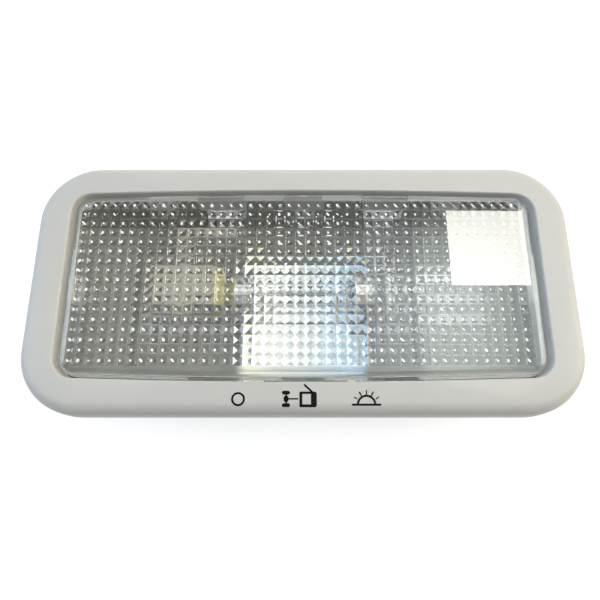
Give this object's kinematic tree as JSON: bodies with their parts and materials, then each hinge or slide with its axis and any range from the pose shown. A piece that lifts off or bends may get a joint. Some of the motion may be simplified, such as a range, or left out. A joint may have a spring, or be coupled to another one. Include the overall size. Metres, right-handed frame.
{
  "type": "car dome light",
  "caption": "Car roof lamp with a bright prism lens that rocks to work its three-position switch, in a grey bezel over a clip-in rear housing.",
  "frame": {"origin": "middle of the footprint, on the lowest face of the rear housing", "axes": "+X along the lamp, +Y across it away from the printed icons, +Z out of the lens"},
  "size_m": [0.1338, 0.0636, 0.0284],
  "materials": {
    "bezel_plastic": "satin moulded, warm light grey",
    "housing_plastic": "plain moulded, dark grey",
    "lens_clear": "clear moulded polycarbonate",
    "bulb_glass": "clear glass",
    "reflector_metal": "bright sheet",
    "cap_metal": "nickel-plated cap",
    "contact_brass": "stamped strip",
    "contact_tinned": "tin-plated stamped strip",
    "bridge_copper": "copper alloy strip",
    "spring_steel": "sprung strip",
    "filament_wire": "tungsten wire",
    "lead_wire": "nickel wire",
    "rocker_plastic": "plain moulded, beige"
  },
  "bodies": {
    "housing": {"bezel": "bezel_plastic", "rear_housing": "housing_plastic", "reflector": "reflector_metal", "bulb_glass": "bulb_glass", "bulb_cap_left": "cap_metal", "bulb_cap_right": "cap_metal", "bulb_filament": "filament_wire", "bulb_lead_left": "lead_wire", "bulb_lead_right": "lead_wire", "bulb_contact_left": "contact_brass", "bulb_contact_right": "contact_brass", "door_contact": "contact_tinned", "ground_contact": "contact_tinned", "detent_spring": "spring_steel", "retaining_spring_left": "spring_steel", "retaining_spring_right": "spring_steel", "eyelets": "contact_brass"},
    "lens": {"lens": "lens_clear"},
    "rocker": {"contact_rocker": "rocker_plastic", "bridge_contact": "bridge_copper"}
  },
  "joints": [
    {"name": "lens_rock", "type": "hinge", "parent": "housing", "child": "lens", "pos_m": [0, 0, 0.0174], "axis": [0, 1, 0], "range_deg": [-3, 3]},
    {"name": "rocker_tilt", "type": "hinge", "parent": "housing", "child": "rocker", "pos_m": [-0.033, 0.005, 0.009], "axis": [0, 1, 0], "range_deg": [-5.3, 5.3]}
  ],
  "couplings": [
    {"joint": "rocker_tilt", "follows": "lens_rock", "ratio": -1.75}
  ]
}
